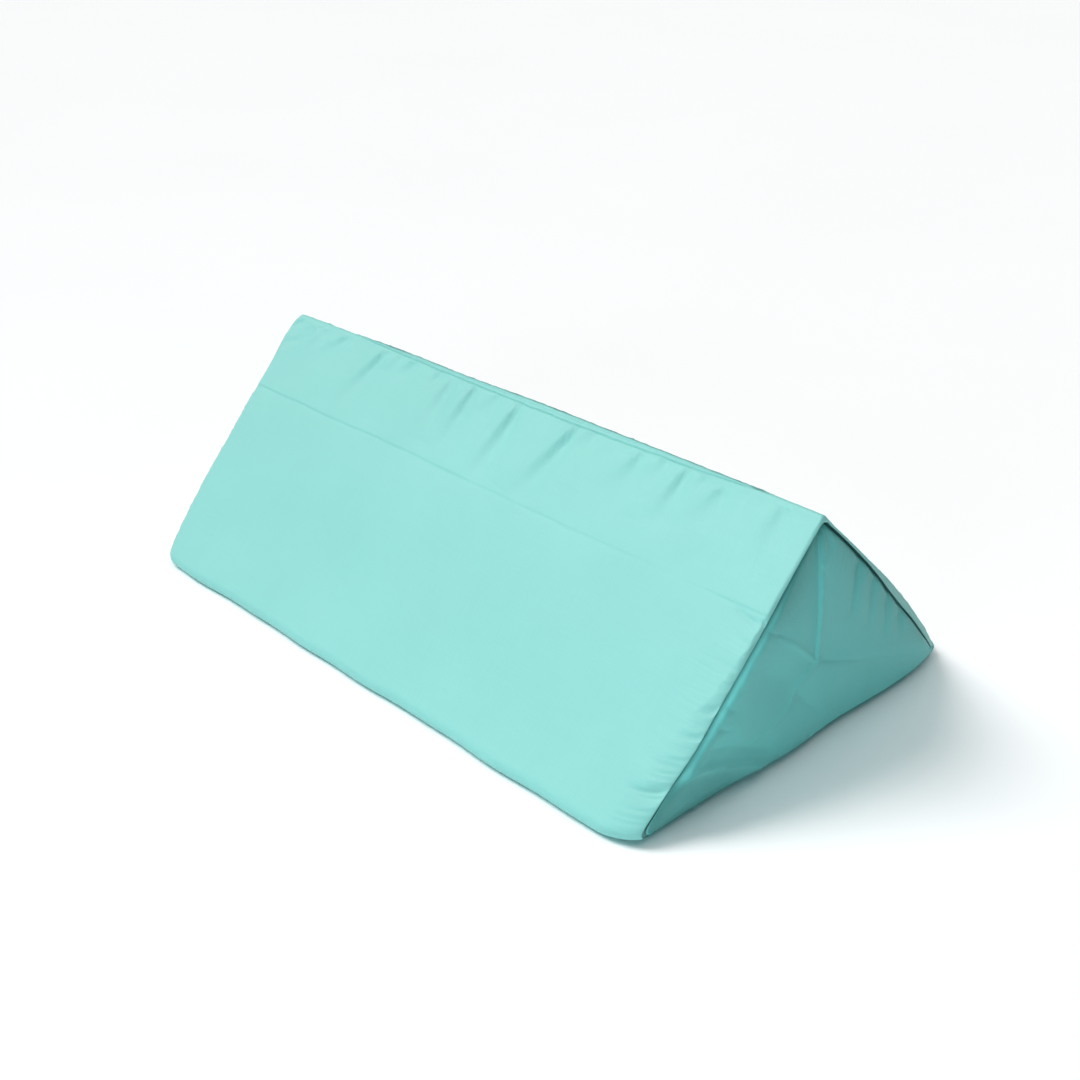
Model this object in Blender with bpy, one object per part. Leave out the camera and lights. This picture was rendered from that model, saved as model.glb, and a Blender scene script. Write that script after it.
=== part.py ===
"""Wedge pillow: a right-angled wedge of filling in a sewn cloth cover.

One wrap of cloth goes down the front slope, under the base and up the back slope, and is closed by
a lap along the ridge. A triangle of cloth is sewn into each end. X runs along the ridge, -Y is the
front slope, +Z is up, and the base rests on z = 0. Sizes are in millimetres and are turned to metres
when a mesh is made.
"""

import math

import bmesh
import bpy
import numpy as np

METRES_PER_MM = 0.001

# The wedge's section: two slopes that would meet in sharp corners, then rounded
RIDGE_HEIGHT = 191.0
HALF_BASE = 195.4
RIDGE_RADIUS = 7.0
BASE_EDGE_RADIUS = 7.0
SLOPE_CROWN = 4.5
CROWN_LEAN = 0.75
RIDGE_SAG_AT_ENDS = 1.6

# The end seams: how deep they lie inside the section, and how the cloth rolls over to them
SEAM_INSET = 8.0
SEAM_FLOOR = 5.0
SEAM_RIDGE_RADIUS = 4.0
SEAM_BASE_RADIUS = 10.0
SEAM_RISE_AT_RIDGE = 3.5
ROLL_LENGTH_RIDGE = 9.0
ROLL_LENGTH_BASE = 26.0
GROOVE_DEPTH = 2.7
LAST_STATION_X = 274.0

# The sewn-in end panels
PANEL_THICKNESS = 1.2
PANEL_GAP = 0.3
PANEL_BULGE = 4.5
JUNCTION_ACROSS = 1.0
JUNCTION_HEIGHT = 70.0

# The lap of cloth along the ridge
LAP_HEIGHT = 1.0
LAP_START_X = -196.0
LAP_END_X = 239.0
LAP_FADE = 14.0

# How finely the surfaces are divided
STATION_SPACING = 7.0
RIDGE_STEPS = 2
EDGE_STEPS = 4
SLOPE_MARKS = (0.010, 0.05, 0.10, 0.155, 0.21, 0.262, 0.287, 0.312, 0.40, 0.55, 0.70, 0.85, 0.95)
BASE_MARKS = (0.5,)
ROLL_ANGLES = (18.0, 36.0, 54.0, 72.0, 90.0)
DISC_LEVELS = (0.985, 0.955, 0.88, 0.75, 0.58, 0.38, 0.18)

# Puckers that the lap's sewing draws into the front slope: where each starts and ends along the
# ridge (x) and down the slope (down), its height (sunk below 0) and its half width
FRONT_PUCKERS = (
    # x start, down start, x end, down end, height, half width
    (-272.0, 6.0, -292.0, 28.0, -2.4, 8.0),
    (-222.0, 8.0, -249.0, 40.0, -1.8, 9.0),
    (-169.0, 8.0, -181.0, 50.0, -2.2, 8.0),
    (-130.0, 8.0, -134.0, 20.0, -1.6, 7.0),
    (-79.0, 12.0, -71.0, 56.0, -1.8, 12.0),
    (-49.0, 8.0, -47.0, 46.0, -2.4, 8.0),
    (6.0, 8.0, 5.0, 60.0, -2.4, 8.0),
    (73.0, 8.0, 60.0, 58.0, -2.4, 8.0),
    (140.0, 12.0, 140.0, 32.0, -1.6, 9.0),
    (185.0, 10.0, 186.0, 40.0, -2.2, 8.0),
    (221.0, 13.0, 222.0, 34.0, -1.8, 11.0),
    (273.0, 8.0, 279.0, 38.0, -1.4, 10.0),
)
BACK_PUCKERS = (
    # x start, down start, x end, down end, height, half width
    (-258.0, 8.0, -270.0, 34.0, -2.0, 9.0),
    (-172.0, 8.0, -178.0, 44.0, -2.0, 9.0),
    (-96.0, 8.0, -92.0, 36.0, -1.8, 9.0),
    (-20.0, 8.0, -24.0, 50.0, -2.2, 9.0),
    (64.0, 8.0, 70.0, 42.0, -2.0, 9.0),
    (146.0, 8.0, 150.0, 48.0, -2.0, 9.0),
    (232.0, 8.0, 226.0, 36.0, -2.0, 9.0),
)
# The crease that packing pressed into the front slope, level with the ridge
SLOPE_CREASES = (
    # x start, down start, x end, down end, height, half width
    (-300.0, 80.0, -77.0, 81.0, -1.0, 7.0),
    (-77.0, 81.0, 207.0, 82.0, -0.7, 7.0),
)

# Folds of the end panel that shows: across is toward the back slope
PANEL_FOLDS = (
    # across start, height start, across end, height end, height out, half width
    (1.0, 70.0, 2.0, 160.0, 3.0, 12.0),
    (1.0, 70.0, 75.0, 41.0, -2.0, 14.0),
    (1.0, 70.0, -50.0, 121.0, -2.0, 12.0),
    (1.0, 70.0, -27.0, 48.0, 1.2, 12.0),
    (-140.0, 38.0, -57.0, 18.0, 2.0, 10.0),
)
# Each end: how far out its seam lies at the ridge and at the base, the folds of its panel, and the
# swells that push its lower edge out (place across, half width, height out)
RIGHT_END = {
    "seam_x_ridge": 304.5,
    "seam_x_base": 300.0,
    "folds": PANEL_FOLDS,
    "swells": ((-22.0, 45.0, 6.0), (100.0, 70.0, 5.5)),
}
LEFT_END = {
    "seam_x_ridge": 306.5,
    "seam_x_base": 292.0,
    "folds": (),
    "swells": ((10.0, 90.0, 4.0),),
}
SWELL_TOP = 75.0

# Linear colours of the cloth in the light and of the end panels
WRAP_COLOUR = (0.325, 0.775, 0.730, 1.0)
PANEL_COLOUR = (0.255, 0.650, 0.620, 1.0)
CLOTH_ROUGHNESS = 0.72

SLOPE_ANGLE = math.atan2(RIDGE_HEIGHT, HALF_BASE)


def clear_scene():
    """Remove every object that the file holds."""
    for item in list(bpy.data.objects):
        bpy.data.objects.remove(item, do_unlink=True)


def cloth_material(name, colour):
    """A matt cloth of one colour."""
    material = bpy.data.materials.new(name)
    material.use_nodes = True
    shader = material.node_tree.nodes["Principled BSDF"]
    shader.inputs["Base Color"].default_value = colour
    shader.inputs["Roughness"].default_value = CLOTH_ROUGHNESS
    shader.inputs["Metallic"].default_value = 0.0
    return material


def fold_height(along, down, rows, fade):
    """Sum of soft troughs and ridges: each is a bell across a straight run that fades to its end."""
    total = np.zeros(np.broadcast(along, down).shape)
    for start_a, start_d, end_a, end_d, height, half_width in rows:
        run = np.array([end_a - start_a, end_d - start_d])
        length = np.hypot(*run)
        part = ((along - start_a) * run[0] + (down - start_d) * run[1]) / length**2
        part = np.clip(part, 0.0, 1.0)
        away = np.hypot(along - start_a - part * run[0], down - start_d - part * run[1])
        bell = np.exp(-((away / half_width) ** 2) * 1.6)
        total = total + height * bell * (1.0 - fade * part)
    return total


def half_section(inset, floor, ridge_radius, edge_radius, crown):
    """One side of the section, from the ridge's top to near the middle of the base.

    Returns the points as (across, height), their outward normals, and how far down the slope each
    lies from where the slopes would meet. An arc rounds the ridge, a slope follows whose crown is a
    raised cosine leaning toward the ridge, an arc rounds the base's edge, and the base is flat.
    """
    sine, cosine = math.sin(SLOPE_ANGLE), math.cos(SLOPE_ANGLE)
    apex = RIDGE_HEIGHT - inset / cosine
    toe = HALF_BASE - inset / sine - floor * cosine / sine
    ridge_centre = np.array([0.0, apex - ridge_radius / cosine])
    edge_centre = np.array([toe - edge_radius / math.tan(SLOPE_ANGLE / 2.0), floor + edge_radius])

    ridge_turn = np.linspace(0.0, SLOPE_ANGLE, RIDGE_STEPS + 1)
    edge_turn = np.linspace(SLOPE_ANGLE, math.pi, EDGE_STEPS + 1)
    ridge_normals = np.stack([np.sin(ridge_turn), np.cos(ridge_turn)], axis=1)
    edge_normals = np.stack([np.sin(edge_turn), np.cos(edge_turn)], axis=1)
    ridge = ridge_centre + ridge_radius * ridge_normals
    edge = edge_centre + edge_radius * edge_normals

    marks = np.array(SLOPE_MARKS)[:, None]
    slope = ridge[-1] + (edge[0] - ridge[-1]) * marks
    slope_normals = np.repeat([[sine, cosine]], len(SLOPE_MARKS), axis=0)
    slope = slope + slope_normals * crown * np.sin(math.pi * marks**CROWN_LEAN) ** 2
    base = edge[-1] * np.array([[1.0 - mark, 1.0] for mark in BASE_MARKS])
    base_normals = np.repeat([[0.0, -1.0]], len(BASE_MARKS), axis=0)

    points = np.concatenate([ridge, slope, edge, base])
    normals = np.concatenate([ridge_normals, slope_normals, edge_normals, base_normals])
    down = points[:, 0] * cosine + (RIDGE_HEIGHT - points[:, 1]) * sine
    return points, normals, down


def section(inset, floor, ridge_radius, edge_radius, crown):
    """The closed section: ridge top, front slope, base, back slope, with normals and slope distance.

    The last array is -1 in front, 1 behind and 0 on the middle line.
    """
    points, normals, down = half_section(inset, floor, ridge_radius, edge_radius, crown)
    mirror = np.array([-1.0, 1.0])
    middle = np.array([[0.0, floor]])
    middle_normal = np.array([[0.0, -1.0]])
    ring = np.concatenate([points * mirror, middle, points[:0:-1]])
    ring_normals = np.concatenate([normals * mirror, middle_normal, normals[:0:-1]])
    ring_down = np.concatenate([down, [down[-1]], down[:0:-1]])
    side = np.concatenate([[0.0], -np.ones(len(points) - 1), [0.0], np.ones(len(points) - 1)])
    return ring, ring_normals, ring_down, side


def smooth_step(value):
    """0 below 0, 1 above 1, and a smooth rise between."""
    clipped = np.clip(value, 0.0, 1.0)
    return clipped * clipped * (3.0 - 2.0 * clipped)


def seam_x(points, end):
    """How far out an end's seam plane lies: it leans between ridge and base, and swells low down."""
    across, height = points[..., 0], points[..., 1]
    lean = end["seam_x_base"] + (end["seam_x_ridge"] - end["seam_x_base"]) * height / RIDGE_HEIGHT
    low = 1.0 - smooth_step(height / SWELL_TOP)
    swell = sum(out * np.exp(-(((across - place) / width) ** 2)) for place, width, out in end["swells"])
    return lean + swell * low


def roll_length(height):
    """How far before the seam the cloth starts to roll over the end of the filling."""
    return ROLL_LENGTH_BASE + (ROLL_LENGTH_RIDGE - ROLL_LENGTH_BASE) * height / RIDGE_HEIGHT


def outer_section():
    """The section between the ends."""
    return section(0.0, 0.0, RIDGE_RADIUS, BASE_EDGE_RADIUS, SLOPE_CROWN)


def seam_section():
    """The line of an end seam, seen along the ridge: it lies less deep near the ridge."""
    ring, normals, down, side = section(SEAM_INSET, SEAM_FLOOR, SEAM_RIDGE_RADIUS,
                                        SEAM_BASE_RADIUS, SLOPE_CROWN * 0.5)
    rise = SEAM_RISE_AT_RIDGE * (1.0 - smooth_step(down / 75.0))
    return ring + normals * rise[:, None]


def wrap_station(x):
    """The wrap's closed outline at one place along the ridge, with its puckers, crease and lap."""
    ring, normals, down, side = outer_section()
    on_slope = smooth_step((ring[:, 1] - 12.0) / 25.0)
    past_ridge = smooth_step((down - 5.0) / 6.0)
    front = fold_height(x, down, FRONT_PUCKERS, 0.7) + fold_height(x, down, SLOPE_CREASES, 0.0)
    back = fold_height(x, down, BACK_PUCKERS, 0.7)
    relief = np.where(side < 0.0, front, back) * on_slope * past_ridge
    lap_run = smooth_step((x - LAP_START_X) / LAP_FADE) * smooth_step((LAP_END_X - x) / LAP_FADE)
    on_lap = np.where(down < RIDGE_RADIUS + 1.5, np.where(side > 0.0, 0.5, 1.0), 0.0)
    relief = relief + LAP_HEIGHT * lap_run * on_lap
    sag = RIDGE_SAG_AT_ENDS * (x / LAST_STATION_X) ** 4 * smooth_step((ring[:, 1] - 120.0) / 60.0)
    placed = ring + normals * relief[:, None]
    placed[:, 1] -= sag
    return np.column_stack([np.full(len(placed), x), placed])


def end_bulge(points, level, end):
    """How far an end panel stands out of the seam's plane: a flat-topped crown and its folds."""
    relief = fold_height(points[:, 0], points[:, 1], end["folds"], 0.35)
    return PANEL_BULGE * (1.0 - level**8) + relief * (1.0 - level**6)


def disc_ring(level, out, end):
    """A closed ring on an end panel's line, shrunk toward the panel's junction by the level."""
    junction = np.array([JUNCTION_ACROSS, JUNCTION_HEIGHT])
    points = junction + (seam_section() - junction) * level
    x = seam_x(points, end) - GROOVE_DEPTH + out + end_bulge(points, level, end)
    return np.column_stack([x, points])


def end_rings(end):
    """The wrap's rings from its last plain station over the roll, into the seam and the recess."""
    outer = wrap_station(LAST_STATION_X)[:, 1:]
    seam = seam_section()
    seam_out = seam_x(seam, end)
    start_out = seam_out - roll_length(seam[:, 1])
    rings = []
    for degrees in ROLL_ANGLES:
        turn = math.radians(degrees)
        x = start_out + (seam_out - start_out) * math.sin(turn)
        placed = seam + (outer - seam) * math.cos(turn)
        rings.append(np.column_stack([x, placed]))
    for level in (1.0,) + DISC_LEVELS:
        rings.append(disc_ring(level, 0.0, end))
    return rings


def ring_triangles(first, second, count):
    """Two triangles for each step between two closed rings of points, given by their first indices."""
    here = np.arange(count)
    after = (here + 1) % count
    return np.concatenate([
        np.column_stack([first + here, second + here, second + after]),
        np.column_stack([first + here, second + after, first + after]),
    ])


def fan_triangles(first, centre, count):
    """A fan from a closed ring to its middle point."""
    here = np.arange(count)
    return np.column_stack([first + here, np.full(count, centre), first + (here + 1) % count])


def add_solid(name, rings, start_point, end_point, material):
    """One closed solid: rings of points in order, closed by a fan to a point at each end."""
    count = len(rings[0])
    points = np.concatenate(rings + [np.array([start_point]), np.array([end_point])])
    last = (len(rings) - 1) * count
    start_index, end_index = len(rings) * count, len(rings) * count + 1
    faces = [ring_triangles(step * count, (step + 1) * count, count) for step in range(len(rings) - 1)]
    faces.append(fan_triangles(last, end_index, count))
    faces.append(fan_triangles(0, start_index, count)[:, ::-1])

    mesh = bpy.data.meshes.new(name)
    mesh.from_pydata((points * METRES_PER_MM).tolist(), [], np.concatenate(faces).tolist())
    model = bmesh.new()
    model.from_mesh(mesh)
    bmesh.ops.recalc_face_normals(model, faces=model.faces)
    model.to_mesh(mesh)
    model.free()
    mesh.shade_smooth()
    mesh.materials.append(material)
    solid = bpy.data.objects.new(name, mesh)
    bpy.context.scene.collection.objects.link(solid)
    return solid


def mirrored(rings):
    """The same rings, or single points, at the other end of the ridge."""
    return [ring * np.array([-1.0, 1.0, 1.0]) for ring in rings]


def junction_point(out, end):
    """The middle point of an end panel's surface, where its folds meet."""
    return disc_ring(0.0, out, end)[0]


def add_filled_wedge(material):
    """The wrap over its filling, with a shallow recess at each end for the end panel."""
    steps = round(2.0 * LAST_STATION_X / STATION_SPACING)
    stations = [wrap_station(x) for x in np.linspace(-LAST_STATION_X, LAST_STATION_X, steps + 1)]
    right = end_rings(RIGHT_END)
    left = mirrored(end_rings(LEFT_END))
    left_point = mirrored([junction_point(0.0, LEFT_END)])[0]
    right_point = junction_point(0.0, RIGHT_END)
    return add_solid("filled_wedge", left[::-1] + stations + right, left_point, right_point, material)


def add_end_panel(name, end, is_left, material):
    """A sewn-in triangle of cloth: an outer and an inner skin joined at a thin rim."""
    inner_out, outer_out = PANEL_GAP, PANEL_GAP + PANEL_THICKNESS
    rim_out = PANEL_GAP + PANEL_THICKNESS * 0.6
    outer = [disc_ring(level, outer_out, end) for level in DISC_LEVELS[:0:-1]]
    rim = [disc_ring(DISC_LEVELS[0], rim_out, end)]
    inner = [disc_ring(level, inner_out, end) for level in DISC_LEVELS]
    rings = [junction_point(outer_out, end)] + outer + rim + inner + [junction_point(inner_out, end)]
    if is_left:
        rings = mirrored(rings)[::-1]
    return add_solid(name, rings[1:-1], rings[0], rings[-1], material)


def build():
    """Make the three pieces."""
    clear_scene()
    wrap = cloth_material("wrap_cloth", WRAP_COLOUR)
    panel = cloth_material("end_panel_cloth", PANEL_COLOUR)
    add_filled_wedge(wrap)
    add_end_panel("end_panel_right", RIGHT_END, False, panel)
    add_end_panel("end_panel_left", LEFT_END, True, panel)


build()
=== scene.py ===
"""Looks of the wedge pillow: its cloth cover, the light it stands in and the camera.

Sizes are in millimetres and are turned to metres when a mesh is made. X runs along the ridge, -Y is
the front slope and +Z is up. Every surface is a grid: one way round the section, the other along the
ridge, or from an end panel's rim to its middle.
"""

import math

import bpy
import numpy as np
from mathutils import Matrix, Vector


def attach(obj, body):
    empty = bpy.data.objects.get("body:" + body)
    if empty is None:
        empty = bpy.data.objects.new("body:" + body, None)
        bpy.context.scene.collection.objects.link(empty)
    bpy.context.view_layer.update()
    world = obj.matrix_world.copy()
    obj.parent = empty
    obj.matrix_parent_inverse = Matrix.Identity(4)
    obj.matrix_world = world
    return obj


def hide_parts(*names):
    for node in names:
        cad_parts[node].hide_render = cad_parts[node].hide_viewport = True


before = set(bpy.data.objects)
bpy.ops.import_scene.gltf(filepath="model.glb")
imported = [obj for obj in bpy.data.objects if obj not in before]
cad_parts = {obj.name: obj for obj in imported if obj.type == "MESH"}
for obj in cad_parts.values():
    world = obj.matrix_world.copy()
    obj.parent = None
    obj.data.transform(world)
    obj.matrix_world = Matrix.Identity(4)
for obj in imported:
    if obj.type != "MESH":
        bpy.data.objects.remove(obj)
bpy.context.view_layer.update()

METRES_PER_MM = 0.001

# The wedge's section: two slopes that would meet in sharp corners, then rounded. The ridge is a
# little sharper than in the solids. Each slope has a crown that is fullest nearer the ridge.
RIDGE_HEIGHT = 189.4
HALF_BASE = 195.4
RIDGE_RADIUS = 2.5
BASE_EDGE_RADIUS = 7.0
SLOPE_CROWN = 2.6
CROWN_LEAN = 0.75
SLOPE_ANGLE = math.atan2(RIDGE_HEIGHT, HALF_BASE)
# Half of the ridge's arc, a base edge's arc, and how far from the sharp corner the ridge's arc ends
RIDGE_HALF_ARC = RIDGE_RADIUS * SLOPE_ANGLE
EDGE_ARC = BASE_EDGE_RADIUS * (math.pi - SLOPE_ANGLE)
RIDGE_FOLD_AT = RIDGE_RADIUS * math.tan(SLOPE_ANGLE)

# The end seams, seen along the ridge: how far they lie inside the section, and how far they stand
# off that line at distances down the front slope and the back slope
SEAM_INSET = 8.0
SEAM_FLOOR = 5.0
SEAM_RIDGE_RADIUS = 2.5
SEAM_BASE_RADIUS = 5.0
SEAM_RISE_DOWN = (0.0, 30.0, 55.0, 80.0, 125.0, 180.0, 220.0, 248.0)
SEAM_RISE_FRONT = (5.2, 5.8, 5.6, 5.0, 4.2, 3.6, 2.8, 1.0)
SEAM_RISE_BACK = (5.2, 4.0, 2.6, 1.0, -2.4, -4.0, -5.4, -5.8)

# The wrap toward its ends: where its plain rows stop, how far the ridge sags at what distance from
# the middle, how much the base's edges waver, what share of the roll's fall is gentle, and how deep
# the seam's groove is, with its share at the base
LAST_STATION_X = 255.0
RIDGE_SAG_AT_ENDS = 1.6
SAG_REACH = 290.0
EDGE_WAVE = 0.8
ROLL_GENTLE = 0.55
GROOVE_DEPTH = 2.7
GROOVE_AT_BASE = 0.35

# The end panels: how thick their cloth is, how far off the groove's floor it lies, how high its crown
# is, how far inside the slopes that starts and how soon it is full, how high the slow unevenness is,
# and the point (across, height) where the folds meet
PANEL_THICKNESS = 0.84
PANEL_GAP = 0.3
PANEL_BULGE = 3.2
BULGE_MARGIN = 3.0
BULGE_REACH = 22.0
PANEL_SWELL = 0.5
JUNCTION = np.array([-7.6, 78.8])

# How finely the surfaces are divided, in mm between grid lines
STATION_STEP = 3.0
COARSE_STATION_STEP = 8.0
COARSE_SLOPE_STEP = 8.0

# The simulated cover: how hard the filling pushes, how far the cloth may lift, how long it settles
# and how slack it is
FILLING_PRESSURE = 4.0
LARGEST_LIFT = 2.4
SETTLING_FRAMES = 20
COVER_SLACK = 0.004

# The slopes: how high their slow unevenness is and how high the ripple along the lap is. Then the
# back slope's hollow near its right end: how deep it is, how far down its middle lies and its reach.
SLOW_SWELL = 0.35
LAP_RIPPLE = 0.16
BACK_HOLLOW = 3.4
BACK_HOLLOW_DOWN = 85.0
BACK_HOLLOW_REACH = 55.0

# A crease: how round its top is and how fast its flanks fall
CUSP_ROUNDING = 0.25
CREASE_FALL = 1.4

# A pucker: its depth against the table's, how high its lip is against its depth, how far before the
# table's start it begins under the lap, how much longer it runs, and its width there and its growth
PUCKER_DEPTH = 1.5
PUCKER_LIP = 1.0
PUCKER_UNDER_LAP = 7.0
PUCKER_STRETCH = 1.4
PUCKER_START_WIDTH = 0.24
PUCKER_GROWTH = 2.0
# As shares of that width: how far the trough reaches away from the lip and toward it, how far off the
# lip's top is, and how far the lip reaches toward the trough and away from it
TROUGH_REACH = (1.7, 0.75)
LIP_OFFSET = 1.9
LIP_REACH = (1.0, 2.3)

# A slope's length from the sharp corner of the ridge to that of the base's edge, nearly
SLOPE_LENGTH = 248.0


def marks_down(*runs):
    """Marks down a slope as shares of its length, from runs of (start, end, step) in mm."""
    return np.concatenate([np.arange(*run) for run in runs]) / SLOPE_LENGTH


# The grids: how many steps round the ridge and the base's edges, and the marks down a slope and
# over the base as shares of their lengths. The fine slope is closest at the lap and at the crease.
FINE_GRID = {
    "ridge_steps": 12,
    "edge_steps": 10,
    "front_marks": marks_down(
        (0.6, 12.0, 0.6), (12.0, 64.0, 2.0), (64.0, 84.0, 0.8), (84.0, 246.5, 1.35)
    ),
    "back_marks": marks_down((0.8, 12.0, 0.8), (12.0, 64.0, 2.2), (64.0, 246.0, 3.0)),
    "base_marks": np.linspace(0.0, 1.0, 9)[1:-1],
}
PANEL_GRID = {
    "ridge_steps": 8,
    "edge_steps": 8,
    "front_marks": marks_down((1.0, 60.0, 1.0), (60.0, 246.5, 1.8)),
    "back_marks": marks_down((1.0, 60.0, 1.0), (60.0, 246.5, 2.0)),
    "base_marks": np.linspace(0.0, 1.0, 79)[1:-1],
}
COARSE_MARKS = marks_down((COARSE_SLOPE_STEP, SLOPE_LENGTH - 3.0, COARSE_SLOPE_STEP))
COARSE_GRID = {
    "ridge_steps": 2,
    "edge_steps": 4,
    "front_marks": COARSE_MARKS,
    "back_marks": COARSE_MARKS,
    "base_marks": np.array([0.3, 0.65]),
}

# How many rows lead from the last plain row to a roll, and how many go over the roll
LEAD_ROWS = 15
ROLL_STEPS = 14

# The wall of an end seam's groove, then the hidden recess under the panel: the share of the way out
# from the panel's junction, and the depth below the seam's plane
SEAM_WALL = ((1.0, 0.9), (0.999, 1.8), (0.994, 2.7))
RECESS_LEVELS = (0.985, 0.955, 0.88, 0.75, 0.58, 0.38, 0.18)
RECESS_CLEARANCE = 0.6

# Puckers under the lap on the front slope: where each starts and ends along the ridge (x) and down
# the slope, how deep it is and its half width
FRONT_PUCKERS = (
    # x start, down start, x end, down end, depth, half width
    (-296.0, 8.0, -299.0, 16.0, 0.8, 3.0),
    (-271.0, 8.0, -291.0, 29.0, 0.5, 5.0),
    (-256.0, 9.0, -259.0, 28.0, 0.9, 7.0),
    (-222.0, 8.0, -249.0, 41.0, 0.9, 5.5),
    (-169.0, 9.0, -181.0, 51.0, 1.6, 4.5),
    (-147.0, 9.0, -149.0, 17.0, 1.0, 3.2),
    (-129.0, 9.0, -134.0, 20.0, 1.2, 3.5),
    (-96.0, 10.0, -94.0, 21.0, 0.8, 4.0),
    (-79.0, 13.0, -71.0, 58.0, 1.3, 8.0),
    (-49.0, 9.0, -47.0, 48.0, 1.8, 4.5),
    (-21.0, 11.0, -25.0, 27.0, 0.8, 5.0),
    (6.0, 10.0, 5.0, 61.0, 1.9, 4.5),
    (73.0, 11.0, 60.0, 59.0, 1.9, 4.5),
    (90.0, 9.0, 88.0, 18.0, 0.8, 3.5),
    (140.0, 13.0, 140.0, 33.0, 1.0, 5.0),
    (163.0, 8.0, 163.0, 14.0, 0.8, 3.0),
    (185.0, 11.0, 186.0, 41.0, 1.6, 4.5),
    (203.0, 9.0, 203.0, 19.0, 0.8, 3.5),
    (221.0, 15.0, 222.0, 35.0, 1.1, 7.0),
    (273.0, 8.0, 279.0, 40.0, 0.8, 6.0),
)

BACK_PUCKERS = (
    # x start, down start, x end, down end, depth, half width
    (-258.0, 8.0, -270.0, 34.0, 1.4, 5.0),
    (-214.0, 8.0, -219.0, 26.0, 0.9, 5.0),
    (-172.0, 8.0, -178.0, 44.0, 1.5, 5.0),
    (-96.0, 8.0, -92.0, 36.0, 1.3, 5.0),
    (-57.0, 5.0, -60.0, 24.0, 1.3, 4.0),
    (-20.0, 8.0, -24.0, 50.0, 1.6, 5.0),
    (64.0, 8.0, 70.0, 42.0, 1.4, 5.0),
    (124.0, 5.0, 127.0, 26.0, 1.3, 4.0),
    (146.0, 8.0, 150.0, 48.0, 1.4, 5.0),
    (232.0, 8.0, 226.0, 36.0, 1.4, 5.0),
)

# Other marks on the front slope: creases at the top left corner, short strokes beside the right seam,
# a short crease at the low left corner and a soft hollow
FRONT_CREASES = (
    # rise, width left, width right, fade, run of x and down
    (-2.0, 2.2, 2.2, 0.4, ((-275.6, 10.5), (-281.2, 19.5), (-288.7, 26.6), (-307.6, 34.7))),
    (1.2, 6.0, 6.0, 0.4, ((-265.9, 14.7), (-271.5, 25.9), (-282.2, 35.9), (-296.1, 42.6))),
    (-1.6, 2.4, 2.4, 0.4, ((-297.8, 7.9), (-302.2, 11.9), (-308.7, 15.9))),
    (-1.9, 3.6, 2.4, 0.35, ((302.0, 88.5), (295.0, 88.0), (286.0, 86.5))),
    (-1.0, 2.4, 1.8, 0.8, ((305.0, 104.0), (294.0, 103.0))),
    (-0.9, 2.4, 1.8, 0.8, ((305.0, 124.0), (291.0, 123.0))),
    (-2.2, 2.6, 1.9, 0.3, ((301.0, 222.0), (292.0, 224.0), (281.0, 225.0))),
    (-1.0, 3.0, 2.0, 0.8, ((303.0, 200.0), (285.0, 203.0))),
    (-0.6, 2.5, 2.5, 0.6, ((-296.0, 243.0), (-275.0, 245.0))),
    (-0.7, 9.0, 9.0, 0.4, ((232.0, 58.0), (219.0, 82.0))),
)

# The crease that packing pressed across the front slope: how far down it lies and how deep it is
# along the ridge, its full depth, how soon it drops from above and comes back below, and its wander
CREASE_LINE = np.array([
    # x, down
    (-304.0, 81.0),
    (-77.0, 81.0),
    (9.0, 82.0),
    (122.0, 83.0),
    (280.0, 82.0),
])
CREASE_STRENGTH = np.array([
    # x, share of the full depth
    (-304.0, 1.0),
    (-180.0, 0.9),
    (-60.0, 0.75),
    (40.0, 0.55),
    (150.0, 0.5),
    (205.0, 0.15),
    (250.0, 0.1),
    (262.0, 0.6),
    (274.0, 0.6),
])
PRESSED_DEPTH = 0.85
PRESSED_DROP = 1.1
PRESSED_RETURN = 9.0
PRESSED_WANDER = 0.35

# Where the lap's edge lies: its distance from the ridge's top down the front, below 0 past the top
LAP_EDGE = np.array([
    # x, distance from the top
    (-235.0, -5.0),
    (-214.0, -1.5),
    (-196.0, 1.6),
    (-120.0, 3.6),
    (0.0, 5.0),
    (50.0, 5.6),
    (120.0, 4.9),
    (200.0, 3.4),
    (236.0, 1.2),
    (256.0, -1.5),
    (272.0, -5.0),
])
# How high the lap's step is, how soft and how far its edge wanders, then how deep and how wide the
# groove before the edge and the stitching inside it are, and how far in the stitching runs
LAP_HEIGHT = 0.7
LAP_EDGE_SOFTNESS = 0.8
LAP_WANDER = 0.22
LAP_GROOVE = 0.8
LAP_GROOVE_WIDTH = 0.5
LAP_STITCH_DEPTH = 0.5
LAP_STITCH_WIDTH = 0.55
LAP_STITCH_INSET = 2.4

# Painted shade: how deep in colour the cloth is drawn in the line just behind the ridge's top, where
# that lies and how wide it is, and how deep in colour the front slope's end seams are drawn
TOP_SEAM_SHADE = 0.9
TOP_SEAM_BEHIND = 0.7
TOP_SEAM_WIDTH = 1.1
SEAM_SHADE_FRONT = 0.9

# Gathers beside the end seams: how high the fine and the broad ones are, how much of them there is
# near the ridge, how much of the roll's wobble the back slope has, and how high the finest are in
# the cloth's bump
GATHER_FINE = 0.38
GATHER_BROAD = 0.42
GATHER_FLOOR = 0.15
BACK_WOBBLE = 0.3
GATHER_BUMP = 0.9

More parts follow.
